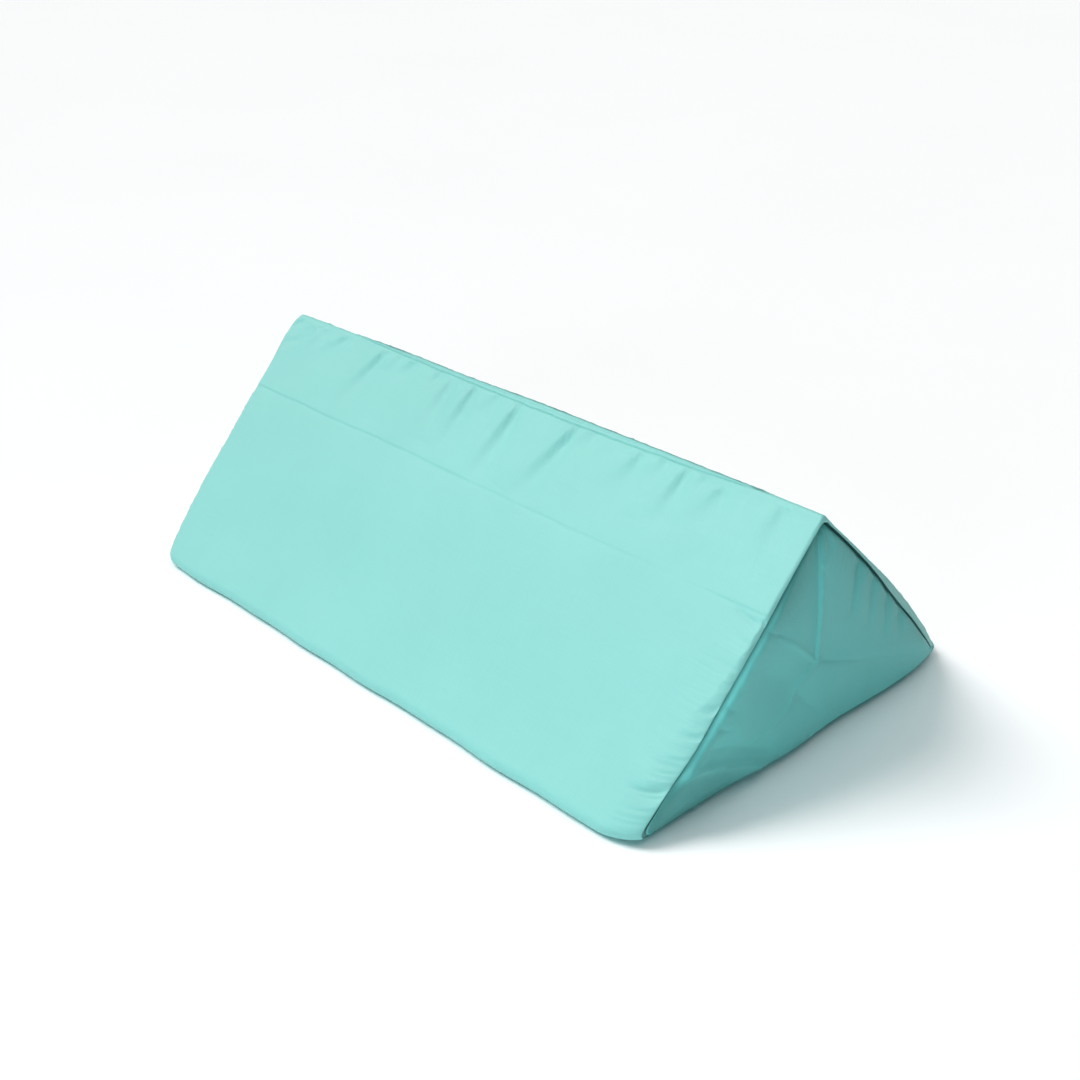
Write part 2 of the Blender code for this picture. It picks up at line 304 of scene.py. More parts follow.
# The end panels' rolled rim. An end's slopes lie PANEL_REACH from the junction, and the rim lies an
# inset inside them, with a wider gap at the back seam. It climbs over a width, and climbs higher
# beside the front seam for some way in, with a lip and small gathers. Last are the distances from the
# rim of its closest rings, and how many rings go on from there.
PANEL_REACH = 74.0
PANEL_RIM_INSET = 1.6
PANEL_BACK_GAP = 0.3
PANEL_RIM_RISE = 3.4
PANEL_RIM_WIDTH = 2.6
PANEL_FRONT_RISE = 1.5
PANEL_FRONT_REACH = 15.0
PANEL_FRONT_LIP = 0.9
PANEL_LIP_REACH = 9.0
PANEL_GATHER = 0.35
PANEL_GATHER_REACH = 7.0
PANEL_GATHER_START = 1.5
RIM_STEPS = np.array([0.0, 0.4, 0.8, 1.3, 1.8, 2.3, 2.8, 3.4, 4.2, 5.2, 6.4])
PANEL_LEVELS = 52

# How deep in colour an end panel is drawn where its cloth lies in shade: beside the back seam and the
# upper front seam with how far in that reaches, along the low front rim, and toward the ridge
BACK_RIM_SHADE = 0.35
FRONT_RIM_SHADE = 0.60
RIM_SHADE_REACH = 16.0
LOW_RIM_SHADE = 0.24
LOW_RIM_REACH = 7.0
UPPER_SHADE = 0.07

# The low fold near the front corner of the end panel that shows, as across and height
LOW_FOLD_RUN = ((-138.0, 44.0), (-128.0, 45.0), (-104.0, 36.4), (-76.0, 24.4), (-56.0, 13.4))
# That panel's creases. Across is toward the back slope, left is upward or forward of
# the run's direction, and a rise below 0 is a hollow.
PANEL_CREASES = (
    # rise, width left, width right, fade, run of across and height
    (-5.2, 3.0, 28.0, 0.8, ((-3.8, 173.0), (-5.3, 151.7), (-6.5, 132.8), (-8.3, 109.0), (-10.0, 84.0))),
    (1.6, 1.8, 2.6, 0.2, ((-7.6, 78.8), (-6.0, 109.1), (-4.1, 132.8), (-2.8, 151.7), (-1.3, 172.6))),
    (1.5, 3.0, 3.0, 0.3, ((-7.6, 78.8), (-34.8, 104.2), (-59.1, 121.2))),
    (-1.4, 7.0, 4.0, 0.3, ((-50.0, 117.0), (-40.5, 109.2))),
    (-2.2, 18.0, 18.0, 0.0, ((-58.0, 86.5), (-38.0, 74.5))),
    (-2.4, 9.0, 4.0, 0.95, ((-7.6, 78.8), (32.0, 63.0), (73.0, 46.5))),
    (1.6, 3.5, 4.0, 0.3, ((-7.6, 78.8), (-28.4, 65.8), (-37.6, 53.4), (-51.0, 48.0), (-72.0, 41.5))),
    (-1.4, 6.0, 6.0, 0.5, ((-27.5, 61.0), (3.0, 30.0))),
    (2.6, 26.0, 26.0, 0.0, ((-86.0, 56.0), (-48.0, 42.0))),
    (-2.8, 9.0, 8.0, 0.4, ((-113.0, 54.0), (-97.0, 49.0), (-53.0, 25.4))),
    (4.8, 4.0, 9.0, 0.3, LOW_FOLD_RUN),
    (-4.6, 3.0, 9.0, 0.55, ((41.0, 136.0), (34.0, 107.0))),
    (-3.4, 3.0, 8.0, 0.6, ((59.0, 118.0), (56.0, 88.0))),
    (-3.8, 3.0, 8.0, 0.6, ((78.0, 99.0), (77.0, 70.0))),
    (-2.8, 3.0, 8.0, 0.6, ((95.0, 81.0), (96.0, 58.0))),
    (-2.2, 3.0, 6.0, 0.3, ((2.0, 178.0), (5.0, 163.0))),
    (-3.0, 2.5, 2.5, 0.6, ((-61.0, 124.0), (-52.0, 117.0))),
    (-2.0, 2.0, 2.0, 0.6, ((-102.0, 82.4), (-95.0, 77.5))),
    (-1.9, 2.0, 2.0, 0.6, ((-109.0, 69.5), (-101.0, 64.5))),
)
# Below the low fold, carried on to the front corner, the cloth lies in shade
SHADE_LINE = np.array([(-190.0, 22.0), *LOW_FOLD_RUN])

# Each end: how far out its seam lies at the seam heights, how long its roll is at the roll heights,
# where the seam pinches the front slope (height, depth, half width), the creases of its panel and how
# deep the painted shade on that panel is under the low fold, the swells that push its lower edge out
# (place across, half width, distance out), how far the start of its roll wobbles, and the seed of its
# waves
SEAM_HEIGHTS = (0.0, 15.0, 40.0, 60.0, 80.0, 120.0, 150.0, 175.0, 191.0)
ROLL_HEIGHTS = (0.0, 13.0, 40.0, 58.0, 76.0, 100.0, 117.0, 135.0, 191.0)
RIGHT_END = {
    "seam_x": (299.0, 301.6, 304.8, 307.6, 307.9, 308.3, 306.8, 305.2, 304.4),
    "roll": (34.0, 28.0, 22.0, 19.0, 14.0, 6.0, 3.5, 2.6, 2.4),
    "pinches": ((128.0, 1.6, 3.0), (82.0, 2.2, 3.0), (67.0, 1.4, 2.4), (34.0, 2.6, 4.0)),
    "creases": PANEL_CREASES,
    "corner_shade": 0.36,
    "swells": ((-22.0, 45.0, 5.0), (100.0, 60.0, 4.5), (176.0, 24.0, -4.5)),
    "wobble": 1.8,
    "seed": 23,
}
LEFT_END = {
    "seam_x": (284.5, 287.5, 292.0, 295.2, 296.4, 298.6, 302.4, 307.8, 302.0),
    "roll": (18.0, 16.0, 12.0, 10.0, 9.0, 7.0, 5.0, 4.0, 3.5),
    "pinches": ((96.0, 1.0, 4.0), (52.0, 1.2, 4.5)),
    "creases": (),
    "corner_shade": 0.0,
    "swells": ((10.0, 90.0, 4.0),),
    "wobble": 0.7,
    "seed": 31,
}

# How high the swells reach, and how much deeper the panels lie in the ridge's half and at the top
SWELL_TOP = 75.0
PANEL_SINK = 0.5
APEX_SINK = 1.5

# The cloth: its two close tones as sRGB, the deep tone of the painted shade in its seams and shaded
# places, and that of its sheen. The end panels are a shaded copy of the wrap's cloth: their deeper,
# more saturated colour is painted shade on the end faces.
CLOTH_MAP = "cloth"
WRAP_HEX = ("#87ccc6", "#82c6c0")
PANEL_SHADED_HEX = ("#69c8c4", "#64c2be")
PAINTED_SHADE_HEX = "#12605b"
SHEEN_HEX = "#c8f4ee"
# The threads' drawn distance and the depths of the weave's and the streaks' bump, in mm
DRAWN_THREAD = 0.8
WEAVE_BUMP = 0.07
STREAK_BUMP = 0.10
# How many there are to a metre, across and along: streaks about 1.1 mm wide and 38 mm long, gathers
# about 4.3 mm wide and 33 mm long, and patches of dye a hand's width apart
STREAK_SCALE = (900.0, 26.0)
GATHER_SCALE = (230.0, 30.0)
PATCH_SCALE = 9.0

# The floor and the light, in metres, watts and degrees. The two high lights are far off, toward the
# directions given, and the fills are squares that face their targets.
FLOOR_HEX = ("#f8fcfd", "#f5f9fa")
FLOOR_SIZE = 24.0
FLOOR_DROP = 0.0004
SKY_HEX = "#bfe6f2"
SKY_STRENGTH = 0.12
KEY_TOWARD = (-0.50, -0.30, 0.81)
KEY_STRENGTH = 2.4
KEY_ANGLE = 30.0
KEY_COLOUR = (1.0, 0.92, 0.90)
OVERHEAD_TOWARD = (0.10, 0.05, 1.0)
OVERHEAD_STRENGTH = 1.15
OVERHEAD_ANGLE = 60.0
OVERHEAD_COLOUR = (1.0, 0.96, 0.95)
FILL_PLACE = (0.70, -2.3, 0.45)
FILL_TARGET = (0.05, 0.0, 0.10)
FILL_SIZE = 1.2
FILL_POWER = 20.6
FILL_COLOUR = (0.60, 0.95, 1.0)
END_FILL_PLACE = (1.70, -0.12, 0.05)
END_FILL_TARGET = (0.31, 0.0, 0.05)
END_FILL_SIZE = 0.5
END_FILL_POWER = 0.5

# The camera: its place in metres, its yaw, pitch and roll in degrees, its lens and sensor in mm
CAMERA_PLACE = (0.8470, -0.7624, 0.6405)
CAMERA_TURN = (-47.320, 27.057, -1.033)
CAMERA_LENS = 50.45
CAMERA_SENSOR = 36.0


def smooth_step(value):
    """0 below 0, 1 above 1, and a smooth rise between."""
    clipped = np.clip(value, 0.0, 1.0)
    return clipped * clipped * (3.0 - 2.0 * clipped)


def ramp(value, start, end):
    """0 before the start, 1 past the end and a smooth rise between; the end may be the lower one."""
    return smooth_step((value - start) / (end - start))


def bell(offset, width):
    """A bell over the distance from its middle: exp(-(offset / width)^2)."""
    return np.exp(-((offset / width) ** 2))


def waves(value, seed, shortest, longest, count):
    """Uneven waves along a line: a sum of sines whose lengths run between two sizes."""
    draw = np.random.default_rng(seed)
    lengths = np.geomspace(shortest, longest, count) * draw.uniform(0.85, 1.18, count)
    phases = draw.uniform(0.0, 2.0 * math.pi, count)
    turned = 2.0 * math.pi * value
    total = sum(np.sin(turned / length + phase) for length, phase in zip(lengths, phases))
    return total / math.sqrt(count)


def swells(across, along, seed, size, count):
    """Slow unevenness over a surface: a sum of plane sine waves in all directions, about 1 high."""
    draw = np.random.default_rng(seed)
    total = 0.0
    for _ in range(count):
        turn = draw.uniform(0.0, math.pi)
        length = size * draw.uniform(0.7, 1.6)
        phase = draw.uniform(0.0, 2.0 * math.pi)
        line = across * math.cos(turn) + along * math.sin(turn)
        total = total + np.sin(2.0 * math.pi * line / length + phase)
    return total / math.sqrt(count)


def crease_relief(along, down, creases):
    """Sum of creases along bent runs: each has a rounded cusp across its run and fades along it.

    Across its run it is exp(-fall r), where r is sqrt((away / width)^2 + rounding^2) - rounding, and
    the width is not the same on both sides. Where stretches of one run meet, the higher counts.
    """
    total = np.zeros(np.broadcast(along, down).shape)
    for rise, left_width, right_width, fade, run in creases:
        highest = np.zeros(total.shape)
        for index, (start, end) in enumerate(zip(run[:-1], run[1:])):
            run_a, run_d = end[0] - start[0], end[1] - start[1]
            length = math.hypot(run_a, run_d)
            part = ((along - start[0]) * run_a + (down - start[1]) * run_d) / length**2
            held = np.clip(part, 0.0, 1.0)
            off_a = along - start[0] - held * run_a
            off_d = down - start[1] - held * run_d
            away = np.hypot(off_a, off_d)
            # From -1 at the right of the run to 1 at its left, and 0 on the run itself
            side = (run_a * off_d - run_d * off_a) / (length * (away + 0.01))
            width = right_width + (left_width - right_width) * (0.5 + 0.5 * side)
            rounded = np.sqrt((away / width) ** 2 + CUSP_ROUNDING**2) - CUSP_ROUNDING
            gone = fade * (index + held) / (len(run) - 1)
            highest = np.maximum(highest, np.exp(-CREASE_FALL * rounded) * (1.0 - gone))
        total = total + rise * highest
    return total


def pucker_relief(along, down, rows):
    """Sum of puckers: a trough that starts narrow at the ridge, then widens and fades down the slope.

    Across its run the trough is a bell, wider on its shaded side, and so is the low lip on its lit
    side, where the cloth stands up. Along the run both grow at first, then fade as (1 - part)^0.7.
    """
    total = np.zeros(np.broadcast(along, down).shape)
    for start_a, first_d, end_a, end_d, depth, half_width in rows:
        start_d = first_d - PUCKER_UNDER_LAP
        run_a = PUCKER_STRETCH * (end_a - start_a)
        run_d = PUCKER_STRETCH * (end_d - start_d)
        length = math.hypot(run_a, run_d)
        part = ((along - start_a) * run_a + (down - start_d) * run_d) / length**2
        held = np.clip(part, 0.0, 1.0)
        over = np.abs(part - held) * length
        side = ((along - start_a) * run_d - (down - start_d) * run_a) / length
        width = half_width * (PUCKER_START_WIDTH + PUCKER_GROWTH * held)
        trough = bell(side, np.where(side > 0.0, *TROUGH_REACH) * width)
        from_lip = side + LIP_OFFSET * width
        lip = bell(from_lip, np.where(from_lip > 0.0, *LIP_REACH) * width)
        strength = (1.0 - held) ** 0.7 * (0.3 + 0.7 * ramp(held, 0.0, 0.2))
        strength = strength * bell(over, 0.5 * half_width)
        total = total + PUCKER_DEPTH * depth * strength * (PUCKER_LIP * lip - trough)
    return total


def half_section(inset, floor, ridge_radius, edge_radius, crown, grid, slope_marks):
    """One side of the section, from the ridge's top to near the middle of the base.

    An arc rounds the ridge, a slope follows whose crown is a raised cosine leaning toward the ridge,
    an arc rounds the base's edge, and the base is flat. Returns the points as (across, height), their
    outward normals, a parameter that counts the stretches, and the distance down from the sharp corner.
    """
    sine, cosine = math.sin(SLOPE_ANGLE), math.cos(SLOPE_ANGLE)
    apex = RIDGE_HEIGHT - inset / cosine
    toe = HALF_BASE - inset / sine - floor * cosine / sine
    ridge_centre = np.array([0.0, apex - ridge_radius / cosine])
    edge_centre = np.array([toe - edge_radius / math.tan(SLOPE_ANGLE / 2.0), floor + edge_radius])

    ridge_part = np.linspace(0.0, 1.0, grid["ridge_steps"] + 1)
    edge_part = np.linspace(0.0, 1.0, grid["edge_steps"] + 1)
    ridge_turn = ridge_part * SLOPE_ANGLE
    edge_turn = SLOPE_ANGLE + edge_part * (math.pi - SLOPE_ANGLE)
    ridge_normals = np.stack([np.sin(ridge_turn), np.cos(ridge_turn)], axis=1)
    edge_normals = np.stack([np.sin(edge_turn), np.cos(edge_turn)], axis=1)
    ridge = ridge_centre + ridge_radius * ridge_normals
    edge = edge_centre + edge_radius * edge_normals

    marks = slope_marks[:, None]
    slope = ridge[-1] + (edge[0] - ridge[-1]) * marks
    slope_normals = np.repeat([[sine, cosine]], len(marks), axis=0)
    slope = slope + slope_normals * crown * np.sin(math.pi * marks**CROWN_LEAN) ** 2
    base_part = grid["base_marks"][:, None]
    base = edge[-1] * np.concatenate([1.0 - base_part, np.ones_like(base_part)], axis=1)
    base_normals = np.repeat([[0.0, -1.0]], len(base), axis=0)

    points = np.concatenate([ridge, slope, edge, base])
    normals = np.concatenate([ridge_normals, slope_normals, edge_normals, base_normals])
    place = np.concatenate([ridge_part, 1.0 + marks[:, 0], 2.0 + edge_part, 3.0 + base_part[:, 0]])
    down = points[:, 0] * cosine + (RIDGE_HEIGHT - points[:, 1]) * sine
    return points, normals, place, down


def section(inset, floor, ridge_radius, edge_radius, crown, grid):
    """The closed section: ridge top, front slope, base, back slope, as arrays under plain names.

    place runs from 0 at the ridge's top to 4 in the middle of the base and 8 back at the top.
    """
    sizes = (inset, floor, ridge_radius, edge_radius, crown, grid)
    points, normals, place, down = half_section(*sizes, grid["front_marks"])
    back_points, back_normals, back_place, back_down = half_section(*sizes, grid["back_marks"])
    mirror = np.array([-1.0, 1.0])
    front_side, back_side = np.ones(len(points) - 1), np.ones(len(back_points) - 1)
    return {
        "points": np.concatenate([points * mirror, [[0.0, floor]], back_points[:0:-1]]),
        "normals": np.concatenate([normals * mirror, [[0.0, -1.0]], back_normals[:0:-1]]),
        "place": np.concatenate([place, [4.0], 8.0 - back_place[:0:-1]]),
        "down": np.concatenate([down, [down[-1]], back_down[:0:-1]]),
        "side": np.concatenate([[0.0], -front_side, [0.0], back_side]),
    }


def outer_section(grid):
    """The section between the ends."""
    return section(0.0, 0.0, RIDGE_RADIUS, BASE_EDGE_RADIUS, SLOPE_CROWN, grid)


def seam_section(grid):
    """An end seam's line, seen along the ridge: its depth follows a table down each slope."""
    seam = section(SEAM_INSET, SEAM_FLOOR, SEAM_RIDGE_RADIUS, SEAM_BASE_RADIUS, SLOPE_CROWN, grid)
    front = smooth_table(SEAM_RISE_DOWN, SEAM_RISE_FRONT, seam["down"])
    back = smooth_table(SEAM_RISE_DOWN, SEAM_RISE_BACK, seam["down"])
    on_slope = ramp(seam["points"][:, 1], SEAM_FLOOR, SEAM_FLOOR + 12.0)
    rise = np.where(seam["side"] > 0.0, back, front) * on_slope
    seam["points"] = seam["points"] + seam["normals"] * rise[:, None]
    return seam


def seam_x(points, end):
    """How far out an end's seam plane lies: a smooth table by height, and swells low down."""
    across, height = points[..., 0], points[..., 1]
    low = 1.0 - ramp(height, 0.0, SWELL_TOP)
    swell = sum(out * bell(across - place, width) for place, width, out in end["swells"])
    return smooth_table(SEAM_HEIGHTS, end["seam_x"], height) + swell * low


def panel_sink(points):
    """How much deeper an end panel and the groove round it lie toward the ridge, most at its top."""
    height = points[..., 1]
    return PANEL_SINK * ramp(height, 95.0, 170.0) + APEX_SINK * ramp(height, 164.0, 178.0)


def groove_share(points):
    """How deep the groove at an end seam is at these points, as a share: shallow at the base."""
    return GROOVE_AT_BASE + (1.0 - GROOVE_AT_BASE) * ramp(points[..., 1], 4.0, 64.0)


def seam_shade(seam):
    """How deep the painted shade in an end seam is: fully behind near the ridge, least at the base."""
    height = seam["points"][:, 1]
    above_base = 0.3 + 0.7 * ramp(height, 6.0, 22.0)
    back = 0.8 + 0.2 * ramp(height, 40.0, 140.0)
    return np.where(seam["side"] < 0.0, SEAM_SHADE_FRONT, back) * above_base


def roll_length(height, end):
    """How far before the seam the cloth starts to roll over the end of the filling."""
    return np.interp(height, ROLL_HEIGHTS, end["roll"])


def hermite(knots, values, places):
    """Smooth surface through rows of values at knots, read at other places along the first axis.

    Between two knots it is the cubic that has the values and the central-difference slopes there.
    """
    slopes = np.gradient(values, knots, axis=0)
    places = np.broadcast_to(places, (len(places), values.shape[1]))
    index = np.clip(np.searchsorted(knots, places, side="right") - 1, 0, len(knots) - 2)
    gap = knots[index + 1] - knots[index]
    part = np.clip((places - knots[index]) / gap, 0.0, 1.0)
    square, cube = part**2, part**3
    return (
        (2.0 * cube - 3.0 * square + 1.0) * np.take_along_axis(values, index, axis=0)
        + (cube - 2.0 * square + part) * gap * np.take_along_axis(slopes, index, axis=0)
        + (3.0 * square - 2.0 * cube) * np.take_along_axis(values, index + 1, axis=0)
        + (cube - square) * gap * np.take_along_axis(slopes, index + 1, axis=0)
    )


def smooth_table(knots, values, places):
    """A table's smooth curve at places of any shape."""
    column = np.asarray(values, float)[:, None]
    read = hermite(np.asarray(knots, float), column, np.ravel(places)[:, None])
    return read.reshape(np.shape(places))


def round_length(place):
    """The distance round the section, in mm, of a place that counts its stretches."""
    half = np.cumsum([0.0, RIDGE_HALF_ARC, SLOPE_LENGTH, EDGE_ARC, HALF_BASE - EDGE_ARC])
    lengths = np.concatenate([half, 2.0 * half[-1] - half[-2::-1]])
    return np.interp(place, np.arange(9.0), lengths)


def tube_faces(rows, columns):
    """Quads between neighbouring closed rings of a tube, as vertex numbers."""
    row = np.arange(rows - 1)[:, None] * columns
    here = np.arange(columns)[None, :]
    after = (here + 1) % columns
    return np.stack([row + here, row + columns + here, row + columns + after, row + after], axis=-1)


def settled_lift():
    """How far the cover lifts off the filling, from a cloth simulation with the filling's pressure.

    A coarse tube of the wrap is held at its end seams, its ridge and its base, and pushed outwards.
    The lift is what each point moves along its normal, scaled down where it passes the largest lift.
    """
    shape = outer_section(COARSE_GRID)
    count = round(2.0 * LAST_STATION_X / COARSE_STATION_STEP) + 1
    stations = np.linspace(-LAST_STATION_X, LAST_STATION_X, count)
    columns = len(shape["place"])
    points = np.empty((count, columns, 3))
    points[..., 0] = stations[:, None]
    points[..., 1:] = shape["points"][None, :, :]

    # Held: both ends, the ridge's arc, and the base with the lower halves of its edges
    place = shape["place"]
    held = np.zeros((count, columns), bool)
    held[0], held[-1] = True, True
    held[:, (place <= 1.0) | (place >= 7.0)] = True
    held[:, (place >= 2.5) & (place <= 5.5)] = True
    move = settle(points, held) - points
    lift = move[..., 1] * shape["normals"][:, 0] + move[..., 2] * shape["normals"][:, 1]
    share = LARGEST_LIFT / max(float(lift.max()), LARGEST_LIFT)
    return stations, place, np.maximum(lift, 0.0) * share


def settle(points, held):
    """Where a tube of cloth, held at some of its points, comes to rest under the filling's pressure."""
    mesh = bpy.data.meshes.new("settling_cover")
    faces = tube_faces(*held.shape).reshape(-1, 4)
    mesh.from_pydata((points.reshape(-1, 3) * METRES_PER_MM).tolist(), [], faces.tolist())
    cover = bpy.data.objects.new("settling_cover", mesh)
    bpy.context.scene.collection.objects.link(cover)
    group = cover.vertex_groups.new(name="held")
    group.add(np.flatnonzero(held).tolist(), 1.0, "REPLACE")

    cloth = cover.modifiers.new("cloth", "CLOTH")
    cloth.settings.quality = 6
    cloth.settings.mass = 0.2
    cloth.settings.tension_stiffness = 40.0
    cloth.settings.compression_stiffness = 10.0
    cloth.settings.bending_stiffness = 1.5
    cloth.settings.shrink_min = -COVER_SLACK
    cloth.settings.vertex_group_mass = "held"
    cloth.settings.use_pressure = True
    cloth.settings.uniform_pressure_force = FILLING_PRESSURE
    cloth.settings.effector_weights.gravity = 0.0
    cloth.collision_settings.use_collision = False
    scene = bpy.context.scene
    for moment in range(1, SETTLING_FRAMES + 1):
        scene.frame_set(moment)
    settled = cover.evaluated_get(bpy.context.evaluated_depsgraph_get())
    rested = np.empty(points.size)
    settled.data.vertices.foreach_get("co", rested)
    scene.frame_set(1)
    bpy.data.objects.remove(cover, do_unlink=True)
    bpy.data.meshes.remove(mesh)
    return rested.reshape(points.shape) / METRES_PER_MM


def pressed_crease(x, down):
    """The pressed crease: a sharp drop above its line and a slow return below it.

    At a distance d below the line it is exp(-(d / drop)^2) where d is less than 0, and
    exp(-d / return) elsewhere.
    """
    strength = np.interp(x, CREASE_STRENGTH[:, 0], CREASE_STRENGTH[:, 1])
    wander = PRESSED_WANDER * waves(x, 3, 60.0, 200.0, 4)
    below = down - np.interp(x, CREASE_LINE[:, 0], CREASE_LINE[:, 1]) - wander
    dropped = np.where(below < 0.0, bell(below, PRESSED_DROP), np.exp(-below / PRESSED_RETURN))
    return -PRESSED_DEPTH * strength * dropped


def wrap_relief(shape, x):
    """How far the wrap stands off its plain section: lift, puckers, creases, swells and the lap."""
    down = shape["down"][None, :]
    side = shape["side"][None, :]
    height = shape["points"][None, :, 1]
    coarse_x, coarse_place, lift = settled_lift()
    lift = hermite(round_length(coarse_place), lift.T, round_length(shape["place"])[:, None]).T
    lift = hermite(coarse_x, lift, x)

    front = pucker_relief(x, down, FRONT_PUCKERS) + crease_relief(x, down, FRONT_CREASES)
    front = front + pressed_crease(x, down)
    hollow = BACK_HOLLOW * bell(down - BACK_HOLLOW_DOWN, BACK_HOLLOW_REACH)
    back = pucker_relief(x, down, BACK_PUCKERS) - hollow * ramp(x, 120.0, 290.0)
    slow = SLOW_SWELL * swells(x, down * np.where(side < 0.0, 1.0, -1.0), 5, 120.0, 9)
    ripple = LAP_RIPPLE * waves(x + 0.25 * down, 11, 9.0, 30.0, 7) * bell(down - 8.0, 16.0)
    # Nothing of this on the ridge's arc, and none on the base, which lies flat
    relief = np.where(side < 0.0, front, back) * ramp(down, 3.5, 7.0) + slow + ripple
    return relief * ramp(height, 10.0, 34.0) + lift + lap_relief(shape, x)


def past_top(shape):
    """The distance from the ridge's top round the section, above 0 down the front slope."""
    on_arc = (shape["place"] <= 1.0) | (shape["place"] >= 7.0)
    turned = np.where(shape["place"] <= 1.0, shape["place"], shape["place"] - 8.0) * RIDGE_HALF_ARC
    front = shape["down"] - RIDGE_FOLD_AT + RIDGE_HALF_ARC
    return np.where(on_arc, turned, np.where(shape["side"] < 0.0, front, -front))


def lap_relief(shape, x):
    """The lap: a step of one cloth's thickness over the ridge, with a tight groove before its edge.

    Its edge wanders down the front slope and runs over the ridge toward both ends. Just inside the
    edge a line of stitching presses a second, shallower groove.
    """
    reach = past_top(shape)[None, :]
    edge = np.interp(x, LAP_EDGE[:, 0], LAP_EDGE[:, 1]) + LAP_WANDER * waves(x, 17, 14.0, 60.0, 5)
    # The step also fades out behind the ridge
    step = smooth_step((edge - reach) / LAP_EDGE_SOFTNESS) * ramp(reach, -13.0, -6.0)
    groove = bell(reach - edge - LAP_GROOVE_WIDTH, LAP_GROOVE_WIDTH)
    stitched = bell(reach - edge + LAP_STITCH_INSET, LAP_STITCH_WIDTH)
    lap = LAP_HEIGHT * step - LAP_GROOVE * groove - LAP_STITCH_DEPTH * stitched
    # No lap is left where its edge has run over the ridge
    return ramp(edge, -5.0, -2.0) * lap


def end_rows(seam, end, arc):
    """The x of each point of the rows that lead to an end seam, and how far round the roll each is.

    Lead rows close the distance from the last plain station to where the roll starts, then roll rows
    go to the seam. Where the roll starts wobbles with the gathers.
    """
    height = seam["points"][:, 1]
    seam_out = seam_x(seam["points"], end)
    # The roll's start is even round the base's edges
    ease = ramp(height, 14.0, 30.0) * gather_share(seam)
    ease = ease * np.where(seam["side"] < 0.0, 1.0, BACK_WOBBLE)
    wobble = (0.5 + 0.5 * waves(arc, end["seed"] + 2, 14.0, 70.0, 6)) * end["wobble"] * ease
    start_out = seam_out - roll_length(height, end) + wobble
    lead = np.linspace(0.0, 1.0, LEAD_ROWS + 1)[1:, None]
    turns = np.radians(np.linspace(0.0, 90.0, ROLL_STEPS + 1)[1:])[:, None]
    lead_x = LAST_STATION_X + (start_out - LAST_STATION_X) * lead
    roll_x = start_out + (seam_out - start_out) * np.sin(turns)
    return np.concatenate([lead_x, roll_x]), np.concatenate([0.0 * lead, turns])


def gather_share(shape):
    """How gathered the cloth is at each point of a section: little near the ridge, full lower down."""
    return GATHER_FLOOR + (1.0 - GATHER_FLOOR) * ramp(shape["down"], 66.0, 96.0)


def end_gathers(turns, arc, seam, end):
    """Small gathers beside an end seam: uneven waves along the seam, strongest just before it.

    Over the roll they follow s^0.8 (1 - s^6), where s is the sine of the turn. Where the seam pinches
    the front slope there is one deeper trough with a bell-shaped section.
    """
    fine = waves(arc, end["seed"], 4.5, 9.0, 6)
    broad = waves(arc, end["seed"] + 1, 11.0, 30.0, 6)
    rise = np.sin(turns) ** 0.8 * (1.0 - np.sin(turns) ** 6)
    height = seam["points"][:, 1]
    pinched = sum(depth * bell(height - place, width) for place, depth, width in end["pinches"])
    pinched = pinched * (seam["side"] < 0.0)
    return (GATHER_FINE * fine + GATHER_BROAD * broad - pinched) * rise


def wrap_end(shape, seam, rows, x, turns, end, arc):
    """Rings over the roll to the seam, down the seam's groove and under the panel.

    Over the roll, turned by t, the cloth falls gently as sin(t)^1.6 for a share of its fall and turns
    down quickly just before the seam as 1 - cos(t) for the rest. Returns the rings as x, across,
    height, one array for each ring.
    """
    points = seam["points"]
    fall = ROLL_GENTLE * np.sin(turns) ** 1.6 + (1.0 - ROLL_GENTLE) * (1.0 - np.cos(turns))
    on_slope = ramp(shape["points"][:, 1], 6.0, 20.0)
    gather = end_gathers(turns, arc, seam, end) * on_slope * gather_share(shape)
    placed = rows + (points - rows) * fall[..., None] + seam["normals"] * gather[..., None]
    rings = [np.column_stack([x[i], placed[i]]) for i in range(len(rows))]
    for level, depth in SEAM_WALL:
        inner = JUNCTION + (points - JUNCTION) * level
        sunk = depth * groove_share(inner) + panel_sink(inner)
        rings.append(np.column_stack([seam_x(inner, end) - sunk, inner]))
    for level in RECESS_LEVELS:
        inner = JUNCTION + (points - JUNCTION) * level
        out = end_bulge(inner, level, end) - panel_sink(inner) - RECESS_CLEARANCE
        out = out - GROOVE_DEPTH * groove_share(inner)
        rings.append(np.column_stack([seam_x(inner, end) + out, inner]))
    return rings


def end_bulge(points, level, end):
    """How far an end panel stands out of the seam's plane: a low crown, slow swells and its creases.

    The crown is the product of 1 - exp(-distance / reach) for the distances from its three edges.
    Toward the rim, where the level is 1, the swells fade as 1 - level^6 and the creases as
    1 - level^18.
    """
    across, height = points[..., 0], points[..., 1]
    sine, cosine = math.sin(SLOPE_ANGLE), math.cos(SLOPE_ANGLE)
    crown = PANEL_BULGE
    for from_edge in (
        (HALF_BASE + across) * sine - height * cosine - BULGE_MARGIN,
        (HALF_BASE - across) * sine - height * cosine - BULGE_MARGIN,
        height - SEAM_FLOOR,
    ):
        crown = crown * (1.0 - np.exp(-np.maximum(from_edge, 0.0) / BULGE_REACH))
    slow = PANEL_SWELL * swells(across, height, end["seed"], 90.0, 7)
    relief = crease_relief(across, height, end["creases"])
    return crown + slow * (1.0 - level**6) + relief * (1.0 - level**18)


